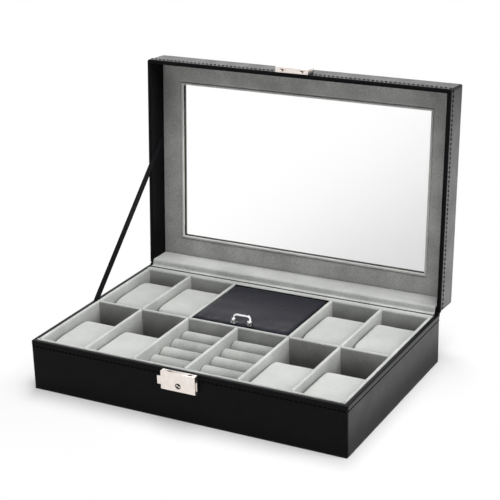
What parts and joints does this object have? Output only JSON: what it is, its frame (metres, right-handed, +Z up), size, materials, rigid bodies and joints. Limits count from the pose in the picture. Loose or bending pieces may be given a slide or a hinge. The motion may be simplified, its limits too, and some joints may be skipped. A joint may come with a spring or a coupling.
{
  "type": "watch box",
  "caption": "Flat leatherette watch box with a glazed lid stayed open by a ribbon, a velvet tray of lift-out watch pillows, ring rolls, a small lidded compartment and a front lock.",
  "frame": {"origin": "centre of the case's underside, on the surface that it stands on", "axes": "+Z up, +X to the right seen from the front, front with the lock at -Y; the lid opens towards +Y"},
  "size_m": [0.3, 0.2475, 0.2516],
  "materials": {
    "board": "bare fibreboard, hidden under the cover",
    "leatherette": "black embossed leatherette, satin",
    "felt": "black felt paper",
    "velvet": "light grey short pile velvet",
    "velvet_panel": "grey short pile velvet",
    "velvet_pillow": "light grey short pile velvet over foam",
    "ribbon": "black woven ribbon",
    "glass": "clear",
    "nickel": "pale nickel plate, satin",
    "chrome": "bright",
    "steel": "plain"
  },
  "bodies": {
    "base": {"base_front_board": "board", "base_rear_board": "board", "base_left_board": "board", "base_right_board": "board", "base_bottom_board": "board", "base_cover": "leatherette", "underside_felt": "felt", "floor_lining": "velvet", "lining_front": "velvet", "lining_rear": "velvet", "lining_left": "velvet", "lining_right": "velvet", "rear_ledge": "velvet", "long_divider": "velvet", "cross_divider_1": "velvet", "cross_divider_2": "velvet", "cross_divider_3": "velvet", "cross_divider_4": "velvet", "ring_divider": "velvet", "ring_rolls_left": "velvet", "ring_rolls_right": "velvet", "compartment_rests": "velvet", "hinge_base_leaves": "steel", "hinge_pins": "steel", "hinge_base_screws": "steel", "hinge_flap": "velvet", "stay_ribbon": "ribbon", "lock_backplate": "nickel", "lock_cover": "nickel", "lock_spring": "nickel", "lock_rivets": "nickel"},
    "lid": {"lid_front_board": "board", "lid_rear_board": "board", "lid_left_board": "board", "lid_right_board": "board", "lid_top_board": "board", "lid_cover": "leatherette", "lid_inner_lining": "leatherette", "lid_glass": "glass", "lid_panel": "velvet_panel", "hinge_lid_leaves": "steel", "hinge_lid_screws": "steel", "catch_cover": "nickel", "catch_hooks": "nickel"},
    "compartment_lid": {"compartment_lid_board": "board", "compartment_lid_cover": "leatherette", "compartment_lid_piping": "leatherette", "handle_feet": "chrome"},
    "bail": {"handle_bail": "chrome"},
    "slide": {"lock_slide": "nickel"},
    "key": {"lock_key_cylinder": "nickel"},
    "pillow_body_front_1": {"pillow_front_1": "velvet_pillow"},
    "pillow_body_front_2": {"pillow_front_2": "velvet_pillow"},
    "pillow_body_front_3": {"pillow_front_3": "velvet_pillow"},
    "pillow_body_front_4": {"pillow_front_4": "velvet_pillow"},
    "pillow_body_back_1": {"pillow_back_1": "velvet_pillow"},
    "pillow_body_back_2": {"pillow_back_2": "velvet_pillow"},
    "pillow_body_back_3": {"pillow_back_3": "velvet_pillow"},
    "pillow_body_back_4": {"pillow_back_4": "velvet_pillow"}
  },
  "joints": [
    {"name": "lid_hinge", "type": "hinge", "parent": "base", "child": "lid", "pos_m": [0, 0.1008, 0.0462], "axis": [-1, 0, 0], "range_deg": [-93.7, 0], "deforming": ["hinge_flap", "stay_ribbon"]},
    {"name": "compartment_lid_hinge", "type": "hinge", "parent": "base", "child": "compartment_lid", "pos_m": [0, 0.0867, 0.0455], "axis": [-1, 0, 0], "range_deg": [0, 95]},
    {"name": "handle_bail_pivot", "type": "hinge", "parent": "compartment_lid", "child": "bail", "pos_m": [0.001, 0.007, 0.0491], "axis": [-1, 0, 0], "range_deg": [-100, 70]},
    {"name": "lock_slide_push", "type": "slide", "parent": "base", "child": "slide", "axis": [1, 0, 0], "range_m": [0, 0.0016], "stiffness_N_per_m": 300, "springref_m": -0.002, "deforming": ["lock_spring"]},
    {"name": "key_turn", "type": "hinge", "parent": "base", "child": "key", "pos_m": [0, -0.1045, 0.0346], "axis": [0, 1, 0], "range_deg": [0, 90]},
    {"name": "pillow_front_1_lift", "type": "slide", "parent": "base", "child": "pillow_body_front_1", "axis": [0, 0, 1], "range_m": [0, 0.045]},
    {"name": "pillow_front_2_lift", "type": "slide", "parent": "base", "child": "pillow_body_front_2", "axis": [0, 0, 1], "range_m": [0, 0.045]},
    {"name": "pillow_front_3_lift", "type": "slide", "parent": "base", "child": "pillow_body_front_3", "axis": [0, 0, 1], "range_m": [0, 0.045]},
    {"name": "pillow_front_4_lift", "type": "slide", "parent": "base", "child": "pillow_body_front_4", "axis": [0, 0, 1], "range_m": [0, 0.045]},
    {"name": "pillow_back_1_lift", "type": "slide", "parent": "base", "child": "pillow_body_back_1", "axis": [0, 0, 1], "range_m": [0, 0.045]},
    {"name": "pillow_back_2_lift", "type": "slide", "parent": "base", "child": "pillow_body_back_2", "axis": [0, 0, 1], "range_m": [0, 0.045]},
    {"name": "pillow_back_3_lift", "type": "slide", "parent": "base", "child": "pillow_body_back_3", "axis": [0, 0, 1], "range_m": [0, 0.045]},
    {"name": "pillow_back_4_lift", "type": "slide", "parent": "base", "child": "pillow_body_back_4", "axis": [0, 0, 1], "range_m": [0, 0.045]}
  ]
}
